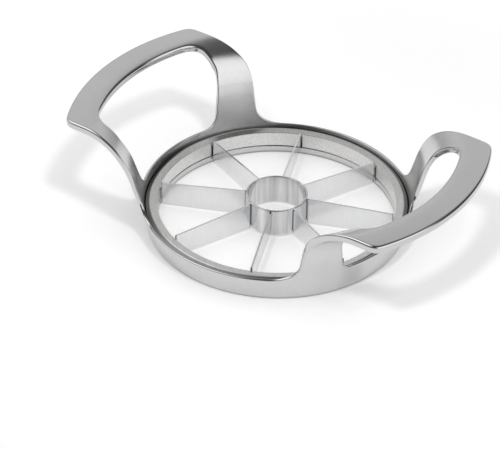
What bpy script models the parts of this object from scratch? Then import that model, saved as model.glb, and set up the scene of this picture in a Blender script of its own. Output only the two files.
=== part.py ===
"""Apple slicer and wedger: a cast ring with two loop handles, a seat ring, eight blades and a corer.

The ring stands on the table at z = 0 with its axis on Z, and the handles point along +X and -X.
Lengths are in metres.
"""
import math

import bmesh
import bpy
from mathutils import Matrix, Vector

# Clearances and counts
SEAT_GAP = 0.0003
CUT_OVERRUN = 0.002
BLADE_COUNT = 8
SCREW_COUNT = 4
RING_STEPS = 96
CORER_STEPS = 48
SCREW_STEPS = 20
SOCKET_SIDES = 6
MERGE_DISTANCE = 0.00001

# Casting: the ring, a cone that leans out and stands on an inward ledge; the rim's radius drives the rest
RIM_RADIUS = 0.052
RIM_HEIGHT = 0.0102
RIM_WALL = 0.0012
RIM_EDGE = 0.00025
RING_LEAN = 0.0024
BASE_RADIUS = RIM_RADIUS - RING_LEAN
BASE_EDGE = 0.0006
LEDGE_WIDTH = 0.00385
LEDGE_THICKNESS = 0.0029
OPENING_RADIUS = BASE_RADIUS - LEDGE_WIDTH

# Casting: the flared wall that carries the handles, from the rim up to the flat top
FLARE_OVERHANG = 0.0021
FLARE_RADIUS = RIM_RADIUS + FLARE_OVERHANG
FLARE_HEIGHT = 0.0225
FLAT_OVERHANG = 0.0203
FLAT_RADIUS = RIM_RADIUS + FLAT_OVERHANG
HANDLE_HEIGHT = 0.0411
FOOT_SINK = 0.0006
FOOT_INSET = 0.00005
FOOT_THICKNESS = 0.00105
LEG_THICKNESS = 0.0019
GRIP_THICKNESS = 0.0032
EDGE_ROUNDING = 0.0006

# Casting: the outline of a loop, as half spans across the handle and radii about the ring axis
HANDLE_REACH = 0.0287
GRIP_RADIUS = RIM_RADIUS + HANDLE_REACH
GRIP_WIDTH = 0.012
LEG_HALF_SPAN = 0.0404
LEG_TAPER = 0.003
RIM_LEG_HALF_SPAN = LEG_HALF_SPAN - LEG_TAPER
LEG_WIDTH = 0.009
WINDOW_HALF_SPAN = LEG_HALF_SPAN - LEG_WIDTH
WINDOW_FLARE_TAPER = 0.0011
FLARE_WINDOW_HALF_SPAN = WINDOW_HALF_SPAN - WINDOW_FLARE_TAPER
WINDOW_SILL_TAPER = 0.0077
SILL_WINDOW_HALF_SPAN = WINDOW_HALF_SPAN - WINDOW_SILL_TAPER
OUTER_CORNER_ROUNDING = 0.0046
WINDOW_CORNER_ROUNDING = 0.0072
OUTER_FOOT_HEIGHT = 0.006
OUTER_FOOT_SPREAD = 0.0095
SILL_HEIGHT = 0.0116
WINDOW_FOOT_HEIGHT = 0.0048
WINDOW_FOOT_SPREAD = 0.0042

# Rows of the loft along a half loop, and points across its face
FILLET_ROWS = 5
WALL_ROWS = 2
FLARE_ROWS = 4
LEG_ROWS = 5
CORNER_ROWS = 6
GRIP_ROWS = 7
ACROSS_STEPS = 6
SILL_ROWS = 9
WALL_END_SHARE = 0.34

# Seat ring: the brushed ring that traps the blades on the ledge
SEAT_RING_HEIGHT = 0.0095
SEAT_RING_DROP = 0.00035
SEAT_RING_EDGE = 0.0003

# Blades
BLADE_THICKNESS = 0.0007
BLADE_EDGE_THICKNESS = 0.0002
BLADE_BOTTOM = 0.001
BLADE_EDGE_DEPTH = 0.0016
BLADE_INNER_HEIGHT = 0.0119
BLADE_OUTER_HEIGHT = 0.0102
TAB_TOP = 0.0075
TAB_LENGTH = 0.00225
TAB_RADIUS = OPENING_RADIUS + TAB_LENGTH

# Corer
CORER_RADIUS = 0.0119
CORER_WALL = 0.0009
CORER_HEIGHT = 0.0126
CORER_EDGE_THICKNESS = 0.00025
CORER_EDGE_DEPTH = 0.0015
CORER_LIP_EDGE = 0.0002

# Screws from below, through the ledge into the seat ring
SCREW_INSET = 0.0018
SCREW_CIRCLE_RADIUS = OPENING_RADIUS + SCREW_INSET
SCREW_HEAD_RADIUS = 0.0012
SCREW_HEAD_DEPTH = 0.0009
SCREW_SHANK_RADIUS = 0.00075
SCREW_RECESS = 0.0003
SCREW_LENGTH = 0.0062
SOCKET_RADIUS = 0.00055
SOCKET_DEPTH = 0.0006

FULL_TURN = math.tau
PARTS_NAME = "apple_slicer"
CUTTERS_NAME = "apple_slicer_cutters"


def clear_objects():
    for item in list(bpy.data.objects):
        bpy.data.objects.remove(item)


def new_collection(name):
    folder = bpy.data.collections.new(name)
    bpy.context.scene.collection.children.link(folder)
    return folder


def metal(name, colour, roughness, metallic=1.0):
    material = bpy.data.materials.new(name)
    material.use_nodes = True
    shader = material.node_tree.nodes["Principled BSDF"]
    shader.inputs["Base Color"].default_value = (*colour, 1.0)
    shader.inputs["Roughness"].default_value = roughness
    shader.inputs["Metallic"].default_value = metallic
    return material


def add_object(name, mesh, folder, material=None):
    item = bpy.data.objects.new(name, mesh)
    folder.objects.link(item)
    if material and not mesh.materials:
        mesh.materials.append(material)
    return item


def as_cutter(item):
    item.hide_render = True
    item.display_type = "WIRE"
    return item


def turned(name, profile, steps, folder, material=None):
    """Turn a closed profile of (radius, height) points about Z."""
    mesh = bpy.data.meshes.new(name)
    points = [(radius, 0, height) for radius, height in profile]
    count = len(points)
    mesh.from_pydata(points, [(index, (index + 1) % count) for index in range(count)], [])
    item = add_object(name, mesh, folder, material)
    lathe = item.modifiers.new("lathe", "SCREW")
    lathe.axis = "Z"
    lathe.angle = FULL_TURN
    lathe.steps = steps
    lathe.render_steps = steps
    lathe.use_smooth_shade = True
    lathe.use_merge_vertices = True
    lathe.merge_threshold = MERGE_DISTANCE
    return item


def cut(item, tool, operation="DIFFERENCE"):
    modifier = item.modifiers.new(tool.name, "BOOLEAN")
    modifier.operation = operation
    modifier.solver = "EXACT"
    modifier.object = tool
    return modifier


def settled_mesh(item, name):
    """The mesh an object has once its modifiers have run."""
    bpy.context.view_layer.update()
    depsgraph = bpy.context.evaluated_depsgraph_get()
    mesh = bpy.data.meshes.new_from_object(item.evaluated_get(depsgraph))
    mesh.name = name
    return mesh


def ease(share):
    """A smooth step from 0 to 1."""
    share = min(max(share, 0), 1)
    return share * share * (3 - 2 * share)


def mix(start, end, share):
    return start + (end - start) * share


# The meridian of the casting's inner and top face: a cone, a flare and a flat, at m = 0, 1, 2 and 3

FOOT_HEIGHT = RIM_HEIGHT - FOOT_SINK
RING_SLOPE = (RIM_RADIUS - BASE_RADIUS) / RIM_HEIGHT
FOOT_TOP_RADIUS = RIM_RADIUS - RIM_WALL + FOOT_INSET
WALL_SLOPE = (FLARE_RADIUS - FOOT_TOP_RADIUS) / (FLARE_HEIGHT - RIM_HEIGHT)
CONTROL_RADIUS = FLARE_RADIUS + WALL_SLOPE * (HANDLE_HEIGHT - FLARE_HEIGHT)


def ring_outer_radius(height):
    return BASE_RADIUS + RING_SLOPE * height


def ring_inner_radius(height):
    return ring_outer_radius(height) - RIM_WALL


def flare_point(share):
    """A quadratic curve that leaves the cone and lies down flat."""
    first = (1 - share) ** 2
    middle = 2 * share * (1 - share)
    last = share ** 2
    radius = first * FLARE_RADIUS + middle * CONTROL_RADIUS + last * FLAT_RADIUS
    height = first * FLARE_HEIGHT + (middle + last) * HANDLE_HEIGHT
    return radius, height


def meridian(m):
    """Radius, height and the outward, downward normal at m."""
    if m <= 1:
        height = mix(FOOT_HEIGHT, FLARE_HEIGHT, m)
        radius = FLARE_RADIUS - WALL_SLOPE * (FLARE_HEIGHT - height)
        along = Vector((WALL_SLOPE, 1))
    elif m <= 2:
        share = m - 1
        radius, height = flare_point(share)
        run = mix(CONTROL_RADIUS - FLARE_RADIUS, FLAT_RADIUS - CONTROL_RADIUS, share)
        rise = mix(HANDLE_HEIGHT - FLARE_HEIGHT, 0, share)
        along = Vector((run, rise))
    else:
        radius = mix(FLAT_RADIUS, GRIP_RADIUS, m - 2)
        height = HANDLE_HEIGHT
        along = Vector((1, 0))
    along.normalize()
    return radius, height, Vector((along.y, -along.x))


def m_at_height(height):
    if height <= FLARE_HEIGHT:
        return (height - FOOT_HEIGHT) / (FLARE_HEIGHT - FOOT_HEIGHT)
    left = (HANDLE_HEIGHT - height) / (HANDLE_HEIGHT - FLARE_HEIGHT)
    return 2 - math.sqrt(left)


def m_at_radius(radius):
    if radius >= FLAT_RADIUS:
        return 2 + (radius - FLAT_RADIUS) / (GRIP_RADIUS - FLAT_RADIUS)
    if radius <= FLARE_RADIUS:
        height = FLARE_HEIGHT - (FLARE_RADIUS - radius) / WALL_SLOPE
        return m_at_height(height)
    square = FLARE_RADIUS - 2 * CONTROL_RADIUS + FLAT_RADIUS
    linear = 2 * (CONTROL_RADIUS - FLARE_RADIUS)
    constant = FLARE_RADIUS - radius
    return 1 + 2 * -constant / (linear + math.sqrt(linear ** 2 - 4 * square * constant))


def thickness_at(m):
    if m <= 1:
        return mix(FOOT_THICKNESS, LEG_THICKNESS, ease(m))
    return mix(LEG_THICKNESS, GRIP_THICKNESS, ease(m - 1))


# The two edges of a half loop, each a list of (m, azimuth) from the foot to the middle of the grip

WINDOW_SPANS = (SILL_WINDOW_HALF_SPAN, FLARE_WINDOW_HALF_SPAN)
LEG_SPANS = (RIM_LEG_HALF_SPAN, LEG_HALF_SPAN)
WINDOW_FOOT = (SILL_HEIGHT, WINDOW_FOOT_HEIGHT, WINDOW_FOOT_SPREAD)
OUTER_FOOT = (RIM_HEIGHT, OUTER_FOOT_HEIGHT, -OUTER_FOOT_SPREAD)


def wall_azimuth(m, half_spans, foot):
    """Where an edge lies on the wall: filleted into what it stands on, and evenly wider up to the flare."""
    base_height, fillet_height, spread = foot
    end_height = flare_point(WALL_END_SHARE)[1]
    radius, height, _ = meridian(m)
    share = max((height - base_height) / (end_height - base_height), 0)
    drop = min(max((base_height + fillet_height - height) / fillet_height, 0), 1)
    fillet = spread * (1 - math.sqrt(1 - drop ** 2)) / radius
    return fillet - math.asin(mix(*half_spans, share) / radius)


def top_edge(start, half_span, radius, rounding):
    """An edge on the flat: along the leg, round the corner and along the grip."""
    centre_y = -(half_span - rounding)
    centre_x = math.sqrt((radius - rounding) ** 2 - centre_y ** 2)
    end_angle = math.atan2(centre_y, centre_x)
    plan = []
    start_radius = meridian(start[0])[0]
    first = Vector((start_radius * math.cos(start[1]), start_radius * math.sin(start[1])))
    corner = Vector((centre_x, -half_span))
    for row in range(1, LEG_ROWS + 1):
        plan.append(first.lerp(corner, row / LEG_ROWS))
    for row in range(1, CORNER_ROWS + 1):
        angle = mix(-math.pi / 2, end_angle, row / CORNER_ROWS)
        plan.append(Vector((centre_x + rounding * math.cos(angle), centre_y + rounding * math.sin(angle))))
    for row in range(1, GRIP_ROWS + 1):
        angle = mix(end_angle, 0, row / GRIP_ROWS)
        plan.append(Vector((radius * math.cos(angle), radius * math.sin(angle))))
    return [(m_at_radius(point.length), math.atan2(point.y, point.x)) for point in plan]


def fillet_rows(base_height, fillet_height):
    """Rows that follow a fillet's quarter ellipse in even turns."""
    for row in range(FILLET_ROWS + 1):
        angle = math.pi / 2 * row / FILLET_ROWS
        yield m_at_height(base_height + fillet_height * (1 - math.cos(angle)))


def loop_edges():
    rows_m = {0}
    rows_m.update(fillet_rows(RIM_HEIGHT, OUTER_FOOT_HEIGHT))
    rows_m.update(fillet_rows(SILL_HEIGHT, WINDOW_FOOT_HEIGHT))
    fillet_end = max(rows_m)
    rows_m.update(mix(fillet_end, 1, row / WALL_ROWS) for row in range(1, WALL_ROWS + 1))
    rows_m.update(1 + WALL_END_SHARE * row / FLARE_ROWS for row in range(1, FLARE_ROWS + 1))
    rows_m = sorted(rows_m)
    window = [(m, wall_azimuth(m, WINDOW_SPANS, WINDOW_FOOT)) for m in rows_m]
    outer = [(m, wall_azimuth(m, LEG_SPANS, OUTER_FOOT)) for m in rows_m]
    window += top_edge(window[-1], WINDOW_HALF_SPAN, GRIP_RADIUS - GRIP_WIDTH, WINDOW_CORNER_ROUNDING)
    outer += top_edge(outer[-1], LEG_HALF_SPAN, GRIP_RADIUS, OUTER_CORNER_ROUNDING)
    return list(zip(window, outer))


def surface_point(m, azimuth, depth):
    radius, height, normal = meridian(m)
    radius += normal.x * depth
    height += normal.y * depth
    return Vector((radius * math.cos(azimuth), radius * math.sin(azimuth), height))


def loop_section(window, outer):
    """A closed ring of points round the metal between the window edge and the outer edge."""
    width = (surface_point(*window, 0) - surface_point(*outer, 0)).length
    thickness = thickness_at((window[0] + outer[0]) / 2)
    rounding = min(EDGE_ROUNDING, thickness * 2 / 5)
    slack = rounding * (1 - math.sqrt(1 / 2))
    side = [(rounding, 0), (slack, slack), (0, rounding)]
    side += [(0, thickness - rounding), (slack, thickness - slack), (rounding, thickness)]
    inside = width - 2 * rounding
    face = [rounding + inside * step / ACROSS_STEPS for step in range(1, ACROSS_STEPS)]
    outline = [(along, depth) for along, depth in side]
    outline += [(along, thickness) for along in face]
    outline += [(width - along, depth) for along, depth in reversed(side)]
    outline += [(along, 0) for along in reversed(face)]
    points = []
    for along, depth in outline:
        share = along / width
        m = mix(window[0], outer[0], share)
        azimuth = mix(window[1], outer[1], share)
        points.append(surface_point(m, azimuth, depth))
    return points


def mirrored_loft(name, rings, folder):
    """A quarter lofted through its rings, closed at the first and open on the plane y = 0, mirrored twice."""
    bm = bmesh.new()
    rows = [[bm.verts.new(point) for point in ring] for ring in rings]
    for vert in rows[-1]:
        vert.co.y = 0
    count = len(rows[0])
    for lower, upper in zip(rows, rows[1:]):
        for index in range(count):
            following = (index + 1) % count
            bm.faces.new((lower[index], lower[following], upper[following], upper[index]))
    end = bm.faces.new(rows[0])
    bmesh.ops.triangulate(bm, faces=[end])
    bmesh.ops.recalc_face_normals(bm, faces=bm.faces)
    mesh = bpy.data.meshes.new(name)
    bm.to_mesh(mesh)
    bm.free()
    item = as_cutter(add_object(name, mesh, folder))
    mirror = item.modifiers.new("mirror", "MIRROR")
    mirror.use_axis = (True, True, False)
    mirror.merge_threshold = MERGE_DISTANCE
    return item


def handle_loops(folder):
    rings = [loop_section(window, outer) for window, outer in loop_edges()]
    return mirrored_loft("handle_loops", rings, folder)


def sill_section(azimuth):
    """The wall below a window, from inside the rim up to the sill, a hair thinner than the legs' feet."""
    top = m_at_height(SILL_HEIGHT)
    shoulder = m_at_height(SILL_HEIGHT - RIM_EDGE)
    inner = FOOT_INSET
    outer = thickness_at(top) - FOOT_INSET
    corners = [(0, inner), (shoulder, inner), (top, inner + RIM_EDGE), (top, outer - RIM_EDGE), (shoulder, outer)]
    corners.append((0, thickness_at(0) - FOOT_INSET))
    return [surface_point(m, azimuth, depth) for m, depth in corners]


def handle_sills(folder):
    start = wall_azimuth(m_at_height(SILL_HEIGHT + WINDOW_FOOT_HEIGHT), WINDOW_SPANS, WINDOW_FOOT)
    rings = [sill_section(mix(start, 0, row / SILL_ROWS)) for row in range(SILL_ROWS + 1)]
    return mirrored_loft("handle_sills", rings, folder)


def screw_profile(clearance=0):
    """Countersunk head and shank; the clearance grows it all round."""
    top = SCREW_RECESS + SCREW_LENGTH + clearance
    neck = SCREW_RECESS + SCREW_HEAD_DEPTH
    bottom = SCREW_RECESS - (clearance and CUT_OVERRUN)
    head = SCREW_HEAD_RADIUS + clearance
    shank = SCREW_SHANK_RADIUS + clearance
    profile = [(0, top), (shank, top), (shank, neck), (head, SCREW_RECESS)]
    if clearance:
        profile.append((head, bottom))
    return profile + [(0, bottom)]


def screw_places():
    for index in range(SCREW_COUNT):
        yield FULL_TURN * index / SCREW_COUNT


def screw_holes(folder):
    cutter = turned("screw_hole", screw_profile(SEAT_GAP), SCREW_STEPS, folder)
    single = settled_mesh(cutter, "screw_hole_single")
    bpy.data.objects.remove(cutter)
    bm = bmesh.new()
    for angle in screw_places():
        before = len(bm.verts)
        bm.from_mesh(single)
        bm.verts.ensure_lookup_table()
        place = Matrix.Rotation(angle, 4, "Z") @ Matrix.Translation((SCREW_CIRCLE_RADIUS, 0, 0))
        bmesh.ops.transform(bm, matrix=place, verts=bm.verts[before:])
    mesh = bpy.data.meshes.new("screw_holes")
    bm.to_mesh(mesh)
    bm.free()
    return as_cutter(add_object("screw_holes", mesh, folder))


def body_casting(parts, cutters, holes):
    rim_inner = ring_inner_radius(RIM_HEIGHT)
    profile = [
        (RIM_RADIUS - RIM_EDGE, RIM_HEIGHT),
        (ring_outer_radius(RIM_HEIGHT - RIM_EDGE), RIM_HEIGHT - RIM_EDGE),
        (ring_outer_radius(BASE_EDGE), BASE_EDGE),
        (ring_outer_radius(0) - BASE_EDGE, 0),
        (OPENING_RADIUS + RIM_EDGE, 0),
        (OPENING_RADIUS, RIM_EDGE),
        (OPENING_RADIUS, LEDGE_THICKNESS),
        (ring_inner_radius(LEDGE_THICKNESS), LEDGE_THICKNESS),
        (ring_inner_radius(RIM_HEIGHT - RIM_EDGE), RIM_HEIGHT - RIM_EDGE),
        (rim_inner + RIM_EDGE, RIM_HEIGHT),
    ]
    aluminium = metal("cast_aluminium", (0.62, 0.62, 0.62), 0.32)
    casting = turned("body_casting", profile, RING_STEPS, parts, aluminium)
    cut(casting, handle_loops(cutters), "UNION")
    cut(casting, handle_sills(cutters), "UNION")
    cut(casting, holes)
    return casting


def slot_cutter(folder):
    """One box for each blade's tab, open through the underside and the bore of the seat ring."""
    low = Vector((OPENING_RADIUS - CUT_OVERRUN, -BLADE_THICKNESS / 2 - SEAT_GAP, 0))
    high = Vector((TAB_RADIUS + SEAT_GAP, BLADE_THICKNESS / 2 + SEAT_GAP, TAB_TOP + SEAT_GAP))
    size = high - low
    bm = bmesh.new()
    for angle in blade_angles():
        place = Matrix.Rotation(angle, 4, "Z") @ Matrix.Translation((low + high) / 2)
        bmesh.ops.create_cube(bm, size=1, matrix=place @ Matrix.Diagonal((*size, 1)))
    mesh = bpy.data.meshes.new("blade_slots")
    bm.to_mesh(mesh)
    bm.free()
    return as_cutter(add_object("blade_slots", mesh, folder))


def seat_ring(parts, cutters, holes):
    bottom = LEDGE_THICKNESS + SEAT_GAP
    top = SEAT_RING_HEIGHT
    inner_top = top - SEAT_RING_DROP
    bottom_radius = ring_inner_radius(bottom) - SEAT_GAP
    shoulder = top - SEAT_RING_EDGE
    profile = [
        (ring_inner_radius(top) - SEAT_GAP - SEAT_RING_EDGE, top),
        (ring_inner_radius(shoulder) - SEAT_GAP, shoulder),
        (bottom_radius, bottom),
        (OPENING_RADIUS, bottom),
        (OPENING_RADIUS, inner_top - SEAT_RING_EDGE),
        (OPENING_RADIUS + SEAT_RING_EDGE, inner_top),
    ]
    steel = metal("brushed_ring_steel", (0.55, 0.54, 0.53), 0.4)
    ring = turned("seat_ring", profile, RING_STEPS, parts, steel)
    cut(ring, slot_cutter(cutters))
    cut(ring, holes)
    return ring


def blade_angles():
    for index in range(BLADE_COUNT):
        yield FULL_TURN * (index + 1 / 2) / BLADE_COUNT


def blade_mesh():
    """A plate along +X from the corer to the ring, with a tab at its end and a sharp lower edge."""
    inner = CORER_RADIUS + SEAT_GAP
    outer = OPENING_RADIUS - SEAT_GAP
    tab_bottom = LEDGE_THICKNESS + SEAT_GAP
    half = BLADE_THICKNESS / 2
    low = Vector((inner, -half, BLADE_BOTTOM))
    high = Vector((outer, half, BLADE_OUTER_HEIGHT))
    bm = bmesh.new()
    place = Matrix.Translation((low + high) / 2) @ Matrix.Diagonal((*(high - low), 1))
    bmesh.ops.create_cube(bm, size=1, matrix=place)
    for height in (BLADE_BOTTOM + BLADE_EDGE_DEPTH, tab_bottom, TAB_TOP):
        everything = bm.verts[:] + bm.edges[:] + bm.faces[:]
        bmesh.ops.bisect_plane(bm, geom=everything, plane_co=(0, 0, height), plane_no=(0, 0, 1))
    for vert in bm.verts:
        if vert.co.z > TAB_TOP + SEAT_GAP and vert.co.x < (inner + outer) / 2:
            vert.co.z = BLADE_INNER_HEIGHT
        if vert.co.z < BLADE_BOTTOM + SEAT_GAP:
            vert.co.y = math.copysign(BLADE_EDGE_THICKNESS / 2, vert.co.y)
    end_faces = []
    for face in bm.faces:
        centre = face.calc_center_median()
        if centre.x > outer - SEAT_GAP and tab_bottom < centre.z < TAB_TOP:
            end_faces.append(face)
    grown = bmesh.ops.extrude_discrete_faces(bm, faces=end_faces)["faces"]
    for face in grown:
        bmesh.ops.translate(bm, verts=face.verts, vec=(TAB_RADIUS - outer, 0, 0))
    mesh = bpy.data.meshes.new("blade")
    bm.to_mesh(mesh)
    bm.free()
    return mesh


def blades(parts):
    steel = metal("blade_steel", (0.72, 0.72, 0.72), 0.28)
    mesh = blade_mesh()
    for number, angle in enumerate(blade_angles(), start=1):
        blade = add_object(f"blade_{number}", mesh, parts, steel)
        blade.rotation_euler.z = angle


def corer_tube(parts):
    inner = CORER_RADIUS - CORER_WALL
    profile = [
        (CORER_RADIUS - CORER_LIP_EDGE, CORER_HEIGHT),
        (CORER_RADIUS, CORER_HEIGHT - CORER_LIP_EDGE),
        (CORER_RADIUS, BLADE_BOTTOM + CORER_EDGE_DEPTH),
        (inner + CORER_EDGE_THICKNESS, BLADE_BOTTOM),
        (inner, BLADE_BOTTOM),
        (inner, CORER_HEIGHT - CORER_LIP_EDGE),
        (inner + CORER_LIP_EDGE, CORER_HEIGHT),
    ]
    return turned("corer_tube", profile, CORER_STEPS, parts, metal("corer_steel", (0.66, 0.66, 0.67), 0.2))


def ring_screws(parts, cutters):
    """Countersunk socket screws, all one mesh."""
    pattern = turned("screw_pattern", screw_profile(), SCREW_STEPS, cutters)
    bm = bmesh.new()
    depth = SOCKET_DEPTH + CUT_OVERRUN
    middle = SCREW_RECESS + SOCKET_DEPTH - depth / 2
    bmesh.ops.create_cone(bm, cap_ends=True, segments=SOCKET_SIDES, radius1=SOCKET_RADIUS,
                          radius2=SOCKET_RADIUS, depth=depth, matrix=Matrix.Translation((0, 0, middle)))
    socket_mesh = bpy.data.meshes.new("screw_socket")
    bm.to_mesh(socket_mesh)
    bm.free()
    socket = as_cutter(add_object("screw_socket", socket_mesh, cutters))
    cut(pattern, socket)
    mesh = settled_mesh(pattern, "ring_screw")
    bpy.data.objects.remove(pattern)
    steel = metal("screw_steel", (0.5, 0.5, 0.5), 0.3)
    for number, angle in enumerate(screw_places(), start=1):
        screw = add_object(f"ring_screw_{number}", mesh, parts, steel)
        screw.location = (SCREW_CIRCLE_RADIUS * math.cos(angle), SCREW_CIRCLE_RADIUS * math.sin(angle), 0)
        screw.rotation_euler.z = angle


def main():
    clear_objects()
    parts = new_collection(PARTS_NAME)
    cutters = new_collection(CUTTERS_NAME)
    holes = screw_holes(cutters)
    body_casting(parts, cutters, holes)
    seat_ring(parts, cutters, holes)
    blades(parts)
    corer_tube(parts)
    ring_screws(parts, cutters)


main()
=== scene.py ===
"""The looks of the apple slicer: satin cast handles, a brushed seat ring, ground blades and a polished corer.

Everything is in metres in the part's own frame: the ring stands on z = 0 with its axis on Z, and the
handles point along +X and -X.
"""

import math

import bmesh
import bpy
import numpy as np
from mathutils import Matrix, Vector
from mathutils.geometry import delaunay_2d_cdt

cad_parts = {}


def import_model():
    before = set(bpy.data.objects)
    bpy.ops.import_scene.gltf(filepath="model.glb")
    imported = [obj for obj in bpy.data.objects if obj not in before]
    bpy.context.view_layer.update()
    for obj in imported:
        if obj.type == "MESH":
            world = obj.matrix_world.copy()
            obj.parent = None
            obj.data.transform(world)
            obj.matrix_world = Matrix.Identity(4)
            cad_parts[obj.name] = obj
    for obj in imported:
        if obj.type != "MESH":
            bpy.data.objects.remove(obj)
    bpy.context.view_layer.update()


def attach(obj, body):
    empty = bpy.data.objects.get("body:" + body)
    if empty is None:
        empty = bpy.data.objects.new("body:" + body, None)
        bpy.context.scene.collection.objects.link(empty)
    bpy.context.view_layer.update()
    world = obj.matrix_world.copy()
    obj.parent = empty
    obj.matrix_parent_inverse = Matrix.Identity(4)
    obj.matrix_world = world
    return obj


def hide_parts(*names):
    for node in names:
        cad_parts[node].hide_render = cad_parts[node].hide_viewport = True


ROOT = "root"
MERGE_DISTANCE = 0.000002
FULL_TURN = math.tau
TINY = 1e-9
NOT_ZERO = 1e-30
SOFTEN_REACH = 4

# Ring of the casting
RIM_RADIUS = 0.052
RIM_HEIGHT = 0.0102
RIM_WALL = 0.0012
RING_LEAN = 0.0024
BASE_RADIUS = RIM_RADIUS - RING_LEAN
BASE_ROUNDING = 0.0006
OPENING_RADIUS = BASE_RADIUS - 0.00385
LEDGE_THICKNESS = 0.0029
LEDGE_ROUNDING = 0.00025
JOIN_HEIGHT = 0.0045

# Wall and flare that carry the handles
FLARE_RADIUS = RIM_RADIUS + 0.0021
FLARE_HEIGHT = 0.0225
FLAT_RADIUS = RIM_RADIUS + 0.0203
HANDLE_HEIGHT = 0.0411
RIM_THICKNESS = 0.00116
LEG_THICKNESS = 0.0019
GRIP_THICKNESS = 0.0032
CROWN_DROP = 0.00015

# Outline of the handles, as half spans across and radii about the ring's axis
GRIP_RADIUS = RIM_RADIUS + 0.0287
GRIP_WIDTH = 0.012
LEG_HALF_SPAN = 0.0404
RIM_LEG_HALF_SPAN = 0.0374
WINDOW_HALF_SPAN = 0.0314
FLARE_WINDOW_HALF_SPAN = 0.0303
SILL_WINDOW_HALF_SPAN = 0.0237
OUTER_CORNER_ROUNDING = 0.0046
WINDOW_CORNER_ROUNDING = 0.0072
OUTER_FOOT_HEIGHT = 0.006
OUTER_FOOT_SPREAD = 0.0095
SILL_HEIGHT = 0.0116
WINDOW_FOOT_HEIGHT = 0.0048
WINDOW_FOOT_SPREAD = 0.0042
WALL_END_SHARE = 0.34
OUTLINE_SOFTNESS = 0.001

# Rounded edge of the handles and the rim
EDGE_ROUNDING_SHARE = 0.3
EDGE_SEGMENTS = 5
TRIM_START = 0.022
TRIM_END = 0.03
TRIM_LEAN_MOST = 0.7
EDGE_HOLD_ROWS = (0.00025, 0.0008)
EDGE_STEP = 0.0006
FACE_STEP = 0.0012
FACE_CLEARANCE_SHARE = 0.6
RING_STEP_DEGREES = 1.25

# Points along the casting's section and outlines, before they are softened and evened out
RING_POINTS = 12
WALL_POINTS = 24
FLARE_POINTS = 60
FLAT_POINTS = 12
SECTION_STEP = 0.0002
SECTION_SOFTNESS = 3
BEND_POINTS = 24
STRAIGHT_POINTS = 40
LEG_TOP_POINTS = 30
RIM_POINTS = 60
OUTLINE_FINE_STEP = 0.0001

# Rounded corners of the turned pieces, the angle past which a blade's edge is bevelled, and how much
# the large faces set the shading
CORNER_SEGMENTS = 4
CORNER_HOLD = 0.00012
SHARP_ANGLE = 30.0
FACE_WEIGHT = 100

# Seat ring
SEAT_GAP = 0.0003
SEAT_RING_HEIGHT = 0.0095
SEAT_RING_DROP = 0.00028
SEAT_SHOULDER_WIDTH = 0.0018
SEAT_SHOULDER_DROP = 0.0007
SEAT_RING_ROUNDING = 0.00018
TURNED_STEPS = 288

# Blades
BLADE_COUNT = 8
BLADE_RING = {"Count": BLADE_COUNT, "First Angle": FULL_TURN / BLADE_COUNT / 2}
BLADE_THICKNESS = 0.0007
BLADE_EDGE_THICKNESS = 0.0002
BLADE_BOTTOM = 0.001
BLADE_EDGE_DEPTH = 0.0016
BLADE_INNER_HEIGHT = 0.0119
BLADE_OUTER_HEIGHT = 0.0102
BLADE_WELD_GAP = 0.00008
BLADE_ROUNDING = 0.00007
TAB_TOP = 0.0075
TAB_RADIUS = OPENING_RADIUS + 0.00225
SLOT_OVERRUN = 0.002

# Corer
CORER_RADIUS = 0.0119
CORER_WALL = 0.0009
CORER_HEIGHT = 0.0126
CORER_EDGE_THICKNESS = 0.00025
CORER_EDGE_DEPTH = 0.0015
CORER_ROUNDING = 0.00022
CORER_BEND_ROUNDING = 0.0003
CORER_TIP_ROUNDING = 0.00005
CORER_STEPS = 160

# Screws on the underside
SCREW_COUNT = 4
SCREW_CIRCLE_RADIUS = OPENING_RADIUS + 0.0018
SCREW_HEAD_RADIUS = 0.0012
SCREW_HEAD_DEPTH = 0.0009
SCREW_SHANK_RADIUS = 0.00075
SCREW_RECESS = 0.0003
SCREW_LENGTH = 0.0062
SOCKET_RADIUS = 0.00055
SOCKET_DEPTH = 0.0006
SOCKET_SIDES = 6
HOLE_OVERRUN = 0.001
SCREW_STEPS = 48

# Camera
CAMERA_AIM = (0.00506, -0.02522, 0.015)
CAMERA_DISTANCE = 1.1258
CAMERA_AZIMUTH = 34.406
CAMERA_ELEVATION = 36.257
CAMERA_ROLL = 0.695
CAMERA_LENS = 216.0
CAMERA_SENSOR = 36.0

# Finishes: scales in repeats per metre, each pair of tones from the grain's dark lines to its light ones.
# A finish keeps its roughness wholly above or wholly below about 0.27: one that crosses it shows specks
NOISE_RANGE = (0.3, 0.7)
COARSE_NOISE = 0.6
LINE_STRETCH = 0.03
BUMP_DEPTH = 0.00002

# Finish of the casting, with painted contact shade as a thin dark line at its foot
CAST_CLOUD_SCALE = 40.0
CAST_SPECK_SCALE = 700.0
CAST_GRAIN_SCALE = 2600.0
CAST_CLOUD_SHARE = 0.6
CAST_TONES = ((0.595, 0.595, 0.60), (0.675, 0.675, 0.675))
CAST_EDGE_TONE = (0.56, 0.56, 0.565)
CAST_EDGE_SHARE = 0.8
CAST_FOOT_SHADE_TONE = (0.2, 0.2, 0.2)
CAST_FOOT_SHADE_BAND = (0.0003, 0.0011)
CAST_FOOT_SHADE_SHARE = 0.75
CAST_ROUGHNESS = 0.24
CAST_CLOUD_ROUGHNESS = (-0.015, 0.015)
CAST_SPECK_ROUGHNESS = (-0.01, 0.01)
CAST_EDGE_POLISH = 0.14
CAST_BUMP = 0.1
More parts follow.
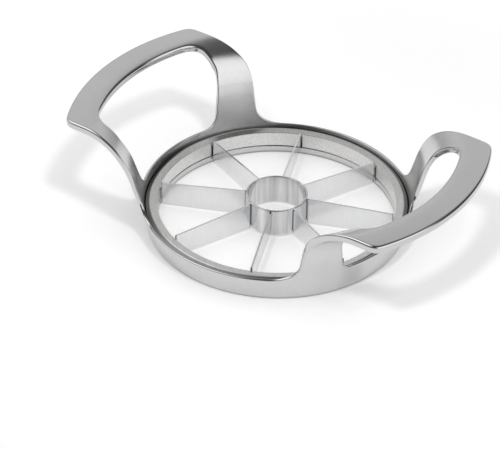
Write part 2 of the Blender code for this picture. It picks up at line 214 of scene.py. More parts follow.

# Finish of the seat ring, brushed across the picture, and of the groove along its outer edge, darkened with
# painted shade and turned lines
BRUSH_ANGLE = math.radians(CAMERA_AZIMUTH)
BRUSH_LINE_SCALE = 5200.0
BRUSH_LINE_NOISE = 0.65
BRUSH_LINE_RISE = 0.3
BRUSH_BROAD_SCALE = 900.0
BRUSH_BROAD_STRETCH = 0.1
BRUSH_GRAIN_SCALE = 1500.0
BRUSH_GRAIN_STRETCH = 0.5
BRUSH_CLOUD_SCALE = 70.0
BRUSH_TONES = ((0.60, 0.595, 0.58), (0.84, 0.835, 0.82))
BRUSH_ROUGHNESS = 0.34
BRUSH_BROAD_ROUGHNESS = (-0.04, 0.05)
BRUSH_CLOUD_ROUGHNESS = (-0.02, 0.03)
BRUSH_BUMP = 0.3
GROOVE_SCALE = 3500.0
GROOVE_RANGE = (0.35, 0.65)
GROOVE_SHADE_TONES = ((0.13, 0.127, 0.124), (0.33, 0.325, 0.32))
GROOVE_SHADE_BLEND = (-0.0004, 0.0001)

# Finish of the blades: the ground edge ends at these shares of its depth, and the painted shade of the slits
# at the joints is measured outwards from the corer and inwards from the ring
BLADE_LINE_SCALE = 4200.0
BLADE_CLOUD_SCALE = 90.0
BLADE_TONES = ((0.74, 0.745, 0.755), (0.82, 0.82, 0.825))
BLADE_ROUGHNESS = 0.22
BLADE_CLOUD_ROUGHNESS = (-0.02, 0.02)
BLADE_BUMP = 0.16
GROUND_BLEND = (0.96, 1.04)
GROUND_ROUGHNESS = 0.03
JOINT_SHADE_TONE = (0.16, 0.16, 0.165)
CORER_JOINT_SHADE = (0.0002, 0.0007)
RING_JOINT_SHADE = (0.001, 0.0006)
RING_JOINT_SHADE_SHARE = 0.6

# Finish of the corer's tube
TUBE_LINE_SCALE = 4200.0
TUBE_LINE_STRETCH = 0.05
TUBE_CLOUD_SCALE = 120.0
TUBE_TONES = ((0.68, 0.68, 0.69), (0.76, 0.76, 0.765))
TUBE_DRAWN_SCALE = 330.0
TUBE_DRAWN_RANGE = (0.35, 0.6)
TUBE_DRAWN_TONE = (0.46, 0.46, 0.47)
TUBE_ROUGHNESS = 0.16
TUBE_CLOUD_ROUGHNESS = (-0.02, 0.04)
TUBE_BUMP = 0.12

# Finish of the screws
SCREW_CLOUD_SCALE = 900.0
SCREW_TONES = ((0.46, 0.46, 0.47), (0.58, 0.58, 0.59))
SCREW_ROUGHNESS = (0.29, 0.38)
SCREW_BUMP = 0.1
SCREW_BUMP_DEPTH = 0.00003

# Floor: what it reflects, what is added so that it looks white, the painted light that lightens the shade in
# the middle, and how far out it turns plain white
FLOOR_HALF_SIZE = 6.0
FLOOR_FADE = (0.085, 0.17)
FLOOR_ALBEDO = 0.92
FLOOR_LIFT = 0.155
CENTRE_PAINTED_LIGHT = 0.08
CENTRE_PAINTED_LIGHT_FADE = (0.02, 0.055)

# Room: the even light on everything that isn't mirrored, then what metal mirrors. Each stop is a sine of the
# elevation and a brightness, beyond the part or on the camera's side, and SIDE_BLEND joins the two
ROOM_LIGHT = 0.76
BEHIND_STOPS = (
    (0.0, 0.45), (0.25, 0.61), (0.45, 0.765), (0.57, 0.765), (0.65, 0.61), (0.78, 0.24), (0.92, 0.13),
)
FRONT_STOPS = ((0.0, 0.05), (0.5, 0.11), (0.9, 0.07))
SIDE_BLEND = (-0.25, 0.2)

# Bright or dark panels that only metal sees: turn from the camera to the right, elevation, half width and
# half height in degrees, and strength
PANELS = (
    (112.0, 26.0, 26.0, 25.0, 0.07),
    (-104.0, 55.0, 25.0, 20.0, 1.6),
    (48.0, 25.0, 34.0, 27.0, 1.35),
)
PANEL_EDGE = 0.12
PANEL_LEAST_AHEAD = 0.001

# Two lamps that metal doesn't show, each for one handle's shadow: the handle's side, and the lamp's turn from
# the camera to the right and its elevation, seen from the top of that handle
LAMPS = ((-1, 29.0, 62.8), (1, -34.3, 60.4))
HANDLE_OUT = 0.075
HANDLE_TOP = 0.041
LAMP_REACH = 1.2
LAMP_RADIUS = 0.085
LAMP_POWER = 16.5
# Each lamp's pool of light is centred this far out on its side, is full to the first of these distances
# across the middle and fades out at the second
POOL_CENTRE = 0.3
POOL_EDGES = (-0.04, 0.04)


def ease(share):
    """A smooth step from 0 to 1, on a number or an array."""
    share = np.clip(share, 0, 1)
    return share * share * (3 - 2 * share)


def mix(start, end, share):
    return start + (end - start) * share


def soften(values, sigma):
    """A Gaussian blur along the first axis of a row that is already padded; sigma counts samples."""
    reach = int(sigma * SOFTEN_REACH)
    weights = np.exp(-0.5 * (np.arange(-reach, reach + 1) / sigma) ** 2)
    weights /= weights.sum()
    return np.stack([np.convolve(column, weights, "same") for column in values.T], axis=1)


def lengths_along(points):
    steps = np.linalg.norm(np.diff(points, axis=0), axis=1)
    return np.concatenate([[0], np.cumsum(steps)])


# The casting's surface


class Meridian:
    """The casting's inner and top face in section: radius, height and thickness against length."""

    def __init__(self):
        slope = RING_LEAN / RIM_HEIGHT
        ring = np.linspace(JOIN_HEIGHT, RIM_HEIGHT, RING_POINTS)
        ring_points = np.stack([BASE_RADIUS + slope * ring - RIM_WALL, ring], axis=1)
        foot_radius = ring_points[-1, 0]
        wall = np.linspace(0, 1, WALL_POINTS)[1:]
        wall_radius = mix(foot_radius, FLARE_RADIUS, wall)
        wall_points = np.stack([wall_radius, mix(RIM_HEIGHT, FLARE_HEIGHT, wall)], axis=1)
        wall_slope = (FLARE_RADIUS - foot_radius) / (FLARE_HEIGHT - RIM_HEIGHT)
        self.control_radius = FLARE_RADIUS + wall_slope * (HANDLE_HEIGHT - FLARE_HEIGHT)
        flare = np.linspace(0, 1, FLARE_POINTS)[1:]
        flare_points = self.flare_point(flare)
        flat = np.linspace(FLAT_RADIUS, GRIP_RADIUS + GRIP_WIDTH, FLAT_POINTS)[1:]
        outward = np.clip((flat - FLAT_RADIUS) / (GRIP_RADIUS - FLAT_RADIUS), 0, 1)
        flat_points = np.stack([flat, HANDLE_HEIGHT - CROWN_DROP * outward ** 2], axis=1)
        points = np.concatenate([ring_points, wall_points, flare_points, flat_points])
        thickness = np.concatenate([
            np.full(len(ring), RIM_THICKNESS),
            mix(RIM_THICKNESS, LEG_THICKNESS, ease(wall)),
            mix(LEG_THICKNESS, GRIP_THICKNESS, ease(flare)),
            np.full(len(flat), GRIP_THICKNESS),
        ])
        length = lengths_along(points)
        self.length = np.arange(0, length[-1], SECTION_STEP)
        self.radius = np.interp(self.length, length, points[:, 0])
        self.height = np.interp(self.length, length, points[:, 1])
        self.thickness = np.interp(self.length, length, thickness)
        along = np.gradient(np.stack([self.radius, self.height], axis=1), axis=0)
        pad = SECTION_SOFTNESS * SOFTEN_REACH
        padded = np.pad(along, ((pad, pad), (0, 0)), "edge")
        along = soften(padded, SECTION_SOFTNESS)[pad:-pad]
        along /= np.linalg.norm(along, axis=1)[:, None]
        self.along = along

    def flare_point(self, share):
        """A quadratic curve that leaves the cone and lies down flat."""
        first = (1 - share) ** 2
        middle = 2 * share * (1 - share)
        last = share ** 2
        radius = first * FLARE_RADIUS + middle * self.control_radius + last * FLAT_RADIUS
        height = first * FLARE_HEIGHT + (middle + last) * HANDLE_HEIGHT
        return np.stack([radius, height], axis=-1)

    def at_height(self, height):
        return np.interp(height, self.height, self.length)

    def at_radius(self, radius):
        return np.interp(radius, self.radius, self.length)

    def radius_at(self, length):
        return np.interp(length, self.length, self.radius)

    def height_at(self, length):
        return np.interp(length, self.length, self.height)

    def thickness_at(self, length):
        return np.interp(length, self.length, self.thickness)

    def directions(self, azimuth, length):
        """Unit vectors on the surface: up along the section, round the ring, and out through the metal."""
        rise_r = np.interp(length, self.length, self.along[:, 0])
        rise_z = np.interp(length, self.length, self.along[:, 1])
        size = np.hypot(rise_r, rise_z)
        rise_r, rise_z = rise_r / size, rise_z / size
        cos, sin = np.cos(azimuth), np.sin(azimuth)
        up = np.stack([cos * rise_r, sin * rise_r, rise_z], axis=-1)
        round_ = np.stack([-sin, cos, np.zeros_like(cos)], axis=-1)
        out = np.stack([cos * rise_z, sin * rise_z, -rise_r], axis=-1)
        return up, round_, out

    def point(self, place, depth):
        """The point in space at (azimuth, length) on the inner face, sunk into the metal by a depth."""
        azimuth, length = place[:, 0], place[:, 1]
        out = self.directions(azimuth, length)[2]
        radius = self.radius_at(length)
        x, y = radius * np.cos(azimuth), radius * np.sin(azimuth)
        base = np.stack([x, y, self.height_at(length)], axis=-1)
        return base + out * np.reshape(depth, (-1, 1))


def wall_edge(meridian, spans, base_height, foot_height, spread):
    """An edge on the wall as (azimuth, length): filleted into what it stands on, and evenly wider above."""
    end_height = meridian.flare_point(WALL_END_SHARE)[1]
    turn = np.linspace(0, math.pi / 2, BEND_POINTS)
    fillet = base_height + foot_height * (1 - np.cos(turn))
    heights = np.concatenate([fillet, np.linspace(fillet[-1], end_height, STRAIGHT_POINTS)[1:]])
    length = meridian.at_height(heights)
    radius = meridian.radius_at(length)
    share = (heights - base_height) / (end_height - base_height)
    drop = np.clip((base_height + foot_height - heights) / foot_height, 0, 1)
    lean = spread * (1 - np.sqrt(1 - drop ** 2)) / radius
    azimuth = lean - np.arcsin(mix(spans[0], spans[1], share) / radius)
    return np.stack([azimuth, length], axis=1)


def top_edge(meridian, start, half_span, radius, rounding):
    """An edge on the flat as (azimuth, length): along the leg, round the corner and along the grip."""
    centre_y = -(half_span - rounding)
    centre_x = math.sqrt((radius - rounding) ** 2 - centre_y ** 2)
    end_angle = math.atan2(centre_y, centre_x)
    start_radius = meridian.radius_at(start[1])
    first = np.array([start_radius * math.cos(start[0]), start_radius * math.sin(start[0])])
    corner = np.array([centre_x, -half_span])
    leg = mix(first, corner, np.linspace(0, 1, LEG_TOP_POINTS)[1:, None])
    turn = np.linspace(-math.pi / 2, end_angle, BEND_POINTS)[1:]
    bend = np.stack([centre_x + rounding * np.cos(turn), centre_y + rounding * np.sin(turn)], axis=1)
    sweep = np.linspace(end_angle, 0, STRAIGHT_POINTS)[1:]
    grip = radius * np.stack([np.cos(sweep), np.sin(sweep)], axis=1)
    plan = np.concatenate([leg, bend, grip])
    distance = np.hypot(plan[:, 0], plan[:, 1])
    return np.stack([np.arctan2(plan[:, 1], plan[:, 0]), meridian.at_radius(distance)], axis=1)


def softened_edge(meridian, places, start_plane):
    """Even steps along an edge that crosses its two mirror planes squarely."""
    for step, blur in ((OUTLINE_FINE_STEP, OUTLINE_SOFTNESS), (EDGE_STEP, 0)):
        length = lengths_along(meridian.point(places, 0))
        count = max(int(round(length[-1] / step)), 2)
        even = np.linspace(0, length[-1], count + 1)
        places = np.stack([np.interp(even, length, column) for column in places.T], axis=1)
        if blur:
            pad = int(blur / step * SOFTEN_REACH)
            before = places[1:pad + 1][::-1] * (-1, 1) + (2 * start_plane, 0)
            after = places[-pad - 1:-1][::-1] * (-1, 1)
            places = soften(np.concatenate([before, places, after]), blur / step)[pad:-pad]
    places[0, 0] = start_plane
    places[-1, 0] = 0
    return places


def outer_edge(meridian):
    """From the rim opposite a handle, along the rim, up the leg and round to the middle of the grip."""
    spans = (RIM_LEG_HALF_SPAN, LEG_HALF_SPAN)
    leg = wall_edge(meridian, spans, RIM_HEIGHT, OUTER_FOOT_HEIGHT, -OUTER_FOOT_SPREAD)
    top = top_edge(meridian, leg[-1], LEG_HALF_SPAN, GRIP_RADIUS, OUTER_CORNER_ROUNDING)
    rim = np.linspace((-math.pi / 2, leg[0, 1]), leg[0], RIM_POINTS)[:-1]
    return softened_edge(meridian, np.concatenate([rim, leg, top]), -math.pi / 2)


def window_edge(meridian):
    """From the middle of the sill, up the inside of the leg and round to the middle of the grip."""
    spans = (SILL_WINDOW_HALF_SPAN, FLARE_WINDOW_HALF_SPAN)
    leg = wall_edge(meridian, spans, SILL_HEIGHT, WINDOW_FOOT_HEIGHT, WINDOW_FOOT_SPREAD)
    top = top_edge(meridian, leg[-1], WINDOW_HALF_SPAN, GRIP_RADIUS - GRIP_WIDTH, WINDOW_CORNER_ROUNDING)
    sill = np.linspace((0, leg[0, 1]), leg[0], STRAIGHT_POINTS)[:-1]
    return softened_edge(meridian, np.concatenate([sill, leg, top]), 0)


def sunk_rows(meridian, places, side):
    """Rows of (places, depth sunk, distance) from deep in the face out to the very edge, and the edge's lean.

    The lean turns the legs' sides upright, as a trimming tool that comes from above leaves them.
    """
    points = meridian.point(places, 0)
    tangent = np.gradient(points, axis=0)
    tangent /= np.linalg.norm(tangent, axis=1)[:, None]
    up, round_, out = meridian.directions(places[:, 0], places[:, 1])
    inward = np.cross(out, tangent) * side
    radius = meridian.radius_at(places[:, 1])
    across = (inward * round_).sum(1)
    across[0] = 0
    across[-1] = 0
    turn = np.stack([across / radius, (inward * up).sum(1)], axis=1)
    lean = np.clip(inward[:, 2] / (out[:, 2] - TINY), -TRIM_LEAN_MOST, TRIM_LEAN_MOST)
    lean = lean * ease((meridian.height_at(places[:, 1]) - TRIM_START) / (TRIM_END - TRIM_START))
    rounding = edge_rounding(meridian, places)
    rows = []
    for distance in sorted(EDGE_HOLD_ROWS, reverse=True):
        rows.append((places + turn * (rounding + distance)[:, None], np.zeros(len(places)), distance))
    for step in range(EDGE_SEGMENTS + 1):
        angle = math.pi / 2 * step / EDGE_SEGMENTS
        inset = rounding * (1 - math.sin(angle))
        rows.append((places + turn * inset[:, None], rounding * (1 - math.cos(angle)), 0.0))
    return rows, turn * lean[:, None]


def edge_rounding(meridian, places):
    """The rounding is finer on the thin rim than on the handle."""
    return meridian.thickness_at(places[:, 1]) * EDGE_ROUNDING_SHARE


def inside(points, loop):
    """Which points lie inside a closed loop, by counting the loop's crossings to one side."""
    found = np.zeros(len(points), bool)
    for first, second in zip(loop, np.roll(loop, -1, axis=0)):
        crosses = (first[1] > points[:, 1]) != (second[1] > points[:, 1])
        if not crosses.any():
            continue
        share = (points[:, 1] - first[1]) / (second[1] - first[1] + NOT_ZERO)
        found ^= crosses & (points[:, 0] < mix(first[0], second[0], share))
    return found


def face_points(meridian, loop, flat_scale):
    """Staggered points inside the loop, a little clear of it."""
    low, high = loop.min(0), loop.max(0)
    spread = []
    length = low[1] + FACE_STEP / 2
    row = 0
    while length < high[1]:
        step = FACE_STEP / meridian.radius_at(length) * flat_scale
        count = int((high[0] - low[0]) / step)
        start = low[0] + step * (0.5 if row % 2 else 1.0)
        spread.append(np.stack([start + step * np.arange(count), np.full(count, length)], axis=1))
        length += FACE_STEP * math.sqrt(3) / 2
        row += 1
    points = np.concatenate(spread)
    points = points[inside(points, loop)]
    clear = np.array([np.min(np.hypot(*(loop - point).T)) for point in points])
    return points[clear > FACE_STEP * FACE_CLEARANCE_SHARE]


def ring_section(meridian):
    """The foot of the ring in section, from the inner wall round the ledge and up the outer wall."""
    slope = RING_LEAN / RIM_HEIGHT
    start = meridian.point(np.array([[0.0, 0.0]]), 0)[0]
    end = meridian.point(np.array([[0.0, 0.0]]), RIM_THICKNESS)[0]
    corners = [
        (BASE_RADIUS + slope * LEDGE_THICKNESS - RIM_WALL, LEDGE_THICKNESS, LEDGE_ROUNDING),
        (OPENING_RADIUS, LEDGE_THICKNESS, LEDGE_ROUNDING),
        (OPENING_RADIUS, 0, LEDGE_ROUNDING),
        (BASE_RADIUS, 0, BASE_ROUNDING),
    ]
    return rounded_section([(start[0], start[2], 0)] + corners + [(end[0], end[2], 0)])


def rounded_section(corners):
    """A line of (radius, height) through corners, each rounded by its own radius.

    Rows beside each rounding hold the flats. An end of an open line has no rounding.
    """
    line = []
    count = len(corners)
    for index, (x, y, rounding) in enumerate(corners):
        here = Vector((x, y))
        if not rounding:
            line.append(here)
            continue
        before = Vector(corners[index - 1][:2]) - here
        after = Vector(corners[(index + 1) % count][:2]) - here
        half = before.angle(after) / 2
        setback = rounding / math.tan(half)
        into = before.normalized()
        away = after.normalized()
        centre = here + (into + away).normalized() * (rounding / math.sin(half))
        first = here + into * setback
        last = here + away * setback
        if before.length > setback + 2 * CORNER_HOLD:
            line.append(here + into * (setback + CORNER_HOLD))
        sweep = (first - centre).angle_signed(last - centre)
        for step in range(CORNER_SEGMENTS + 1):
            arm = first - centre
            arm.rotate(Matrix.Rotation(-sweep * step / CORNER_SEGMENTS, 2))
            line.append(centre + arm)
        if after.length > setback + 2 * CORNER_HOLD:
            line.append(here + away * (setback + CORNER_HOLD))
    return [(point.x, point.y) for point in line]


class Shell:
    """Points and faces gathered for one closed mesh, with a mask that is 1 along the edges."""

    def __init__(self):
        self.points = []
        self.masks = []
        self.faces = []
        self.size = 0

    def add(self, points, mask=0.0):
        first = self.size
        self.points.append(points)
        self.masks.append(np.broadcast_to(mask, len(points)))
        self.size += len(points)
        return np.arange(first, self.size)

    def strip(self, lower, upper):
        for index in range(len(lower) - 1):
            self.faces.append((lower[index], lower[index + 1], upper[index + 1], upper[index]))


def casting_quarter(meridian):
    """One quarter of the casting: both faces, the rounded edges between them, and the ring's foot."""
    shell = Shell()
    count = int(round(90 / RING_STEP_DEGREES)) + 1
    bottom = np.stack([np.linspace(-math.pi / 2, 0, count), np.zeros(count)], axis=1)
    edges = [(outer_edge(meridian), -1.0), (window_edge(meridian), 1.0)]
    rows, leans = zip(*[sunk_rows(meridian, places, side) for places, side in edges])
    rounded = {
        face: [rounded_edge(shell, meridian, face, *edge) for edge in zip(rows, leans)]
        for face in ("inner", "outer")
    }
    for inner_rows, outer_rows in zip(rounded["inner"], rounded["outer"]):
        shell.strip(inner_rows[-1], outer_rows[-1])
    feet = fill_faces(shell, meridian, bottom, rows, rounded)
    close_foot(shell, meridian, bottom, feet)
    return shell


def rounded_edge(shell, meridian, face, edge_rows, lean):
    """One edge of one face: its rows of points joined by strips; gives the points' numbers, row by row."""
    numbers = []
    for places, sunk, distance in edge_rows:
        thickness = meridian.thickness_at(places[:, 1])
        depth = sunk if face == "inner" else thickness - sunk
        leant = places + lean * (depth - thickness / 2)[:, None]
        mask = 1 - distance / max(EDGE_HOLD_ROWS)
        numbers.append(shell.add(meridian.point(leant, depth), mask))
    for lower, upper in zip(numbers, numbers[1:]):
        shell.strip(lower, upper)
    return numbers


def fill_faces(shell, meridian, bottom, rows, rounded):
    """Fills both faces with the same triangles; gives the numbers of the points along each one's bottom."""
    outer_loop, window_loop = rows[0][0][0], rows[1][0][0]
    left_side = side_steps(bottom[0], outer_loop[0])
    right_side = side_steps(bottom[-1], window_loop[0])
    grip_side = side_steps(window_loop[-1], outer_loop[-1])
    loop = np.concatenate([bottom, right_side, window_loop, grip_side, outer_loop[::-1], left_side[::-1]])
    flat_scale = np.array([FLARE_RADIUS, 1.0])
    grid = face_points(meridian, loop * flat_scale, FLARE_RADIUS)
    flat = np.concatenate([loop * flat_scale, grid])
    border = list(range(len(loop)))
    result = delaunay_2d_cdt([Vector(point) for point in flat], [], [border], 1, TINY)
    triangles, sources = result[2], [origin[0] for origin in result[3]]
    places = flat / flat_scale
    parts = (("bottom", bottom), ("right", right_side), ("window", window_loop), ("grip", grip_side),
             ("outer", outer_loop), ("left", left_side), ("grid", grid))
    feet = {}
    for face in ("inner", "outer"):
        outer_row, window_row = (edge[0] for edge in rounded[face])
        shared = {"window": window_row, "outer": outer_row[::-1]}
        depth = 0 * places[:, 1] if face == "inner" else meridian.thickness_at(places[:, 1])
        points = meridian.point(places, depth)
        numbers = np.full(len(flat), -1)
        cursor = 0
        for name, part in parts:
            span = slice(cursor, cursor + len(part))
            numbers[span] = shared[name] if name in shared else shell.add(points[span])
            cursor += len(part)
        feet[face] = numbers[:len(bottom)]
        for triangle in triangles:
            shell.faces.append(tuple(numbers[sources[corner]] for corner in triangle))
    return feet


def close_foot(shell, meridian, bottom, feet):
    """Joins the two faces round the ledge at the ring's foot."""
    azimuth = bottom[:, 0]
    previous = feet["inner"]
    for radius, height in ring_section(meridian)[1:-1]:
        heights = np.full(len(azimuth), height)
        ring = np.stack([radius * np.cos(azimuth), radius * np.sin(azimuth), heights], axis=1)
        current = shell.add(ring)
        shell.strip(previous, current)
        previous = current
    shell.strip(previous, feet["outer"])


def side_steps(start, end):
    """Even steps between two points of a mirror plane, both ends left out."""
    count = max(int(round(abs(end[1] - start[1]) / FACE_STEP)), 1)
    return np.linspace(start, end, count + 1)[1:-1]


def mirrored_mesh(name, shell):
    """A quarter mirrored across X and Y and sewn into one closed mesh, with its edge mask as an attribute."""
    points = np.concatenate(shell.points)
    masks = np.concatenate(shell.masks)
    bm = bmesh.new()
    layer = bm.verts.layers.float.new("edge_mask")
    for sign_x, sign_y in ((1, 1), (-1, 1), (-1, -1), (1, -1)):
        made = []
        for point, mask in zip(points * (sign_x, sign_y, 1), masks):
            vert = bm.verts.new(point)
            vert[layer] = mask
            made.append(vert)
        for face in shell.faces:
            corners = [made[index] for index in face]
            bm.faces.new(corners if sign_x * sign_y > 0 else corners[::-1])
    bmesh.ops.remove_doubles(bm, verts=bm.verts, dist=MERGE_DISTANCE)
    bmesh.ops.recalc_face_normals(bm, faces=bm.faces)
    return finished(name, bm)


def finished(name, bm, smooth=True):
    for face in bm.faces:
        face.smooth = smooth
    mesh = bpy.data.meshes.new(name)
    bm.to_mesh(mesh)
    bm.free()
    return mesh


def placed(name, data):
    item = bpy.data.objects.new(name, data)
    bpy.context.scene.collection.objects.link(item)
    return item


def settled(item):
    """Turns what an object's modifiers make into its own plain mesh."""
    bpy.context.view_layer.update()
    evaluated = item.evaluated_get(bpy.context.evaluated_depsgraph_get())
    mesh = bpy.data.meshes.new_from_object(evaluated)
    item.modifiers.clear()
    item.data = mesh
    return item


def turned_mesh(name, section, steps):
    """A closed section turned about Z."""
    bm = bmesh.new()
    rings = []
    for step in range(steps):
        angle = FULL_TURN * step / steps
        cos, sin = math.cos(angle), math.sin(angle)
        rings.append([bm.verts.new((radius * cos, radius * sin, height)) for radius, height in section])
    for ring, following in zip(rings, rings[1:] + rings[:1]):
        for index in range(len(section)):
            after = (index + 1) % len(section)
            bm.faces.new((ring[index], following[index], following[after], ring[after]))
    bmesh.ops.remove_doubles(bm, verts=bm.verts, dist=MERGE_DISTANCE)
    bmesh.ops.recalc_face_normals(bm, faces=bm.faces)
    return finished(name, bm)


def cut_away(item, tool):
    modifier = item.modifiers.new("cut", "BOOLEAN")
    modifier.operation = "DIFFERENCE"
    modifier.solver = "EXACT"
    modifier.object = tool
    settled(item)
    bpy.data.objects.remove(tool)
    return item


def even_shading(item):
    """Lets the large faces set the normals, so that fine bevels don't shade the flats."""
    modifier = item.modifiers.new("even_shading", "WEIGHTED_NORMAL")
    modifier.weight = FACE_WEIGHT
    modifier.keep_sharp = False
    return settled(item)


# Repeats round the ring


def ring_array_tree():
    """Geometry Nodes: stands copies of the incoming mesh round Z and gives them their material."""
    tree = bpy.data.node_groups.new("ring_array", "GeometryNodeTree")
    sockets = (("Geometry", "Geometry"), ("Count", "Int"), ("Circle Radius", "Float"),
               ("First Angle", "Float"), ("Material", "Material"))
    for name, kind in sockets:
        tree.interface.new_socket(name, in_out="INPUT", socket_type=f"NodeSocket{kind}")
    tree.interface.new_socket("Geometry", in_out="OUTPUT", socket_type="NodeSocketGeometry")
    nodes = Nodes("ring_array", tree)
    entry = tree.nodes.new("NodeGroupInput")
    given = {name: Value(nodes, entry.outputs[name]) for name, kind in sockets}
    count, circle = given["Count"], given["Circle Radius"]
    angle = nodes.node("GeometryNodeInputIndex") * (FULL_TURN / count) + given["First Angle"]
    place = nodes.vector(angle.function("COSINE") * circle, angle.function("SINE") * circle, 0.0)
    points = nodes.node("GeometryNodePoints", inputs={"Count": count, "Position": place})
    stood = {"Points": points, "Instance": given["Geometry"], "Rotation": nodes.vector(0.0, 0.0, angle)}
    instances = nodes.node("GeometryNodeInstanceOnPoints", inputs=stood)
    real = nodes.node("GeometryNodeRealizeInstances", inputs={"Geometry": instances})
    painted = {"Geometry": real, "Material": given["Material"]}
    result = nodes.node("GeometryNodeSetMaterial", inputs=painted)
    nodes.node("NodeGroupOutput", inputs={"Geometry": result})
    return tree


def ring_array(name, mesh, tree, **values):
    """One plain mesh made of copies of a mesh round the ring."""
    item = placed(name, mesh)
    modifier = item.modifiers.new("ring_array", "NODES")
    modifier.node_group = tree
    for socket in tree.interface.items_tree:
        if socket.in_out == "INPUT" and socket.name in values:
            modifier[socket.identifier] = values[socket.name]
    return settled(item)


# Nodes


COLOUR_INPUTS = (6, 7)
COLOUR_OUTPUT = 2


class Value:
    """A node's output socket that takes part in Python arithmetic."""

    def __init__(self, nodes, socket):
        self.nodes = nodes
        self.socket = socket

    def _maths(self, operation, *values):
        return self.nodes.node("ShaderNodeMath", {"operation": operation}, dict(enumerate(values)))

    def __add__(self, other):
        return self._maths("ADD", self, other)

    def __sub__(self, other):
        return self._maths("SUBTRACT", self, other)

    def __mul__(self, other):
        return self._maths("MULTIPLY", self, other)

    def __truediv__(self, other):
        return self._maths("DIVIDE", self, other)

    def __rtruediv__(self, other):
        return self._maths("DIVIDE", other, self)

    def __pow__(self, other):
        return self._maths("POWER", self, other)

    __radd__ = __add__
    __rmul__ = __mul__

    def function(self, operation, *others):
        return self._maths(operation, self, *others)


class Nodes:
    """The nodes of a new material or of a given tree, and the short ways to build them."""

    def __init__(self, name, tree=None):
        if tree is None:
            self.material = bpy.data.materials.new(name)
            self.material.use_nodes = True
            tree = self.material.node_tree
        self.tree = tree
        self.tree.nodes.clear()

    def node(self, kind, settings=None, inputs=None, output=0):
        made = self.tree.nodes.new(kind)
        for key, value in (settings or {}).items():
            if key == "stops":
                self._set_stops(made.color_ramp, value)
            else:
                setattr(made, key, value)
        for key, value in (inputs or {}).items():
            socket = made.inputs[key]
            if isinstance(value, Value):
                self.tree.links.new(value.socket, socket)
            else:
                socket.default_value = value
        return Value(self, made.outputs[output]) if made.outputs else None

    def _set_stops(self, ramp, stops):
        while len(ramp.elements) < len(stops):
            ramp.elements.new(0.5)
        for element, (position, grey) in zip(ramp.elements, stops):
            element.position = position
            element.color = (grey, grey, grey, 1)

    def object_place(self):
        return self.node("ShaderNodeTexCoord", output="Object")

    def ray(self, kind):
        return self.node("ShaderNodeLightPath", output=kind)

    def parts_of(self, vector):
        parts = self.tree.nodes.new("ShaderNodeSeparateXYZ")
        self.tree.links.new(vector.socket, parts.inputs[0])
        return [Value(self, socket) for socket in parts.outputs]

    def vector(self, x, y, z):
        return self.node("ShaderNodeCombineXYZ", inputs={"X": x, "Y": y, "Z": z})

    def noise(self, place, scale, detail=3.0, roughness=0.5):
        inputs = {"Vector": place, "Scale": scale, "Detail": detail, "Roughness": roughness}
        return self.node("ShaderNodeTexNoise", inputs=inputs, output="Fac")

    def span(self, value, low, high, start=0.0, end=1.0):
        """Maps low..high to start..end, held at both ends."""
        inputs = {"Value": value, "From Min": low, "From Max": high, "To Min": start, "To Max": end}
        return self.node("ShaderNodeMapRange", {"clamp": True}, inputs)

    def spread(self, noise, start=0.0, end=1.0):
        """Maps a noise's usual range to start..end."""
        return self.span(noise, *NOISE_RANGE, start, end)

    def tint(self, share, first, second):
        """Mixes two colours, each a link or three numbers."""
        inputs = {"Factor": share}
        for socket, colour in zip(COLOUR_INPUTS, (first, second)):
            inputs[socket] = colour if isinstance(colour, Value) else (*colour, 1)
        return self.node("ShaderNodeMix", {"data_type": "RGBA"}, inputs, output=COLOUR_OUTPUT)

    def metal(self, colour, roughness, height, strength, depth=BUMP_DEPTH):
        """Ends a material as bare metal, with a bump that follows a height."""
        bump = {"Height": height, "Strength": strength, "Distance": depth}
        normal = self.node("ShaderNodeBump", inputs=bump)
        inputs = {"Base Color": colour, "Metallic": 1.0, "Roughness": roughness, "Normal": normal}
        shader = self.node("ShaderNodeBsdfPrincipled", inputs=inputs)
        self.node("ShaderNodeOutputMaterial", inputs={"Surface": shader})
        return self.material


def distance_out(x, y):
    """How far a place is from the ring's axis."""
    return (x * x + y * y).function("SQRT")


def cast_aluminium():
    """Tumbled and satin-finished casting: fine matt grain, soft cloudy sheen, edges rubbed brighter, painted
    contact shade at the foot.
    """
    paint = Nodes("cast_aluminium")
    place = paint.object_place()
    edge = paint.node("ShaderNodeAttribute", {"attribute_name": "edge_mask"}, output="Fac")
    clouds = paint.noise(place, CAST_CLOUD_SCALE)
    grain = paint.noise(place, CAST_GRAIN_SCALE, 2.0, COARSE_NOISE)
    specks = paint.noise(place, CAST_SPECK_SCALE, 3.0, COARSE_NOISE)
    worn = edge ** 2.0
    shade = paint.spread(clouds) * CAST_CLOUD_SHARE + paint.spread(specks) * (1 - CAST_CLOUD_SHARE)
    body = paint.tint(shade, *CAST_TONES)
    rubbed = paint.tint(worn * CAST_EDGE_SHARE, body, CAST_EDGE_TONE)
    height = paint.parts_of(place)[2]
    # Painted contact shade: a thin dark line along the foot, where the floor's shade meets the casting
    foot = paint.span(height, *CAST_FOOT_SHADE_BAND, CAST_FOOT_SHADE_SHARE, 0.0)
    colour = paint.tint(foot, rubbed, CAST_FOOT_SHADE_TONE)
    roughness = (CAST_ROUGHNESS + paint.spread(clouds, *CAST_CLOUD_ROUGHNESS)
                 + paint.spread(specks, *CAST_SPECK_ROUGHNESS))
    roughness = roughness - worn * CAST_EDGE_POLISH
    return paint.metal(colour, roughness, grain, CAST_BUMP)


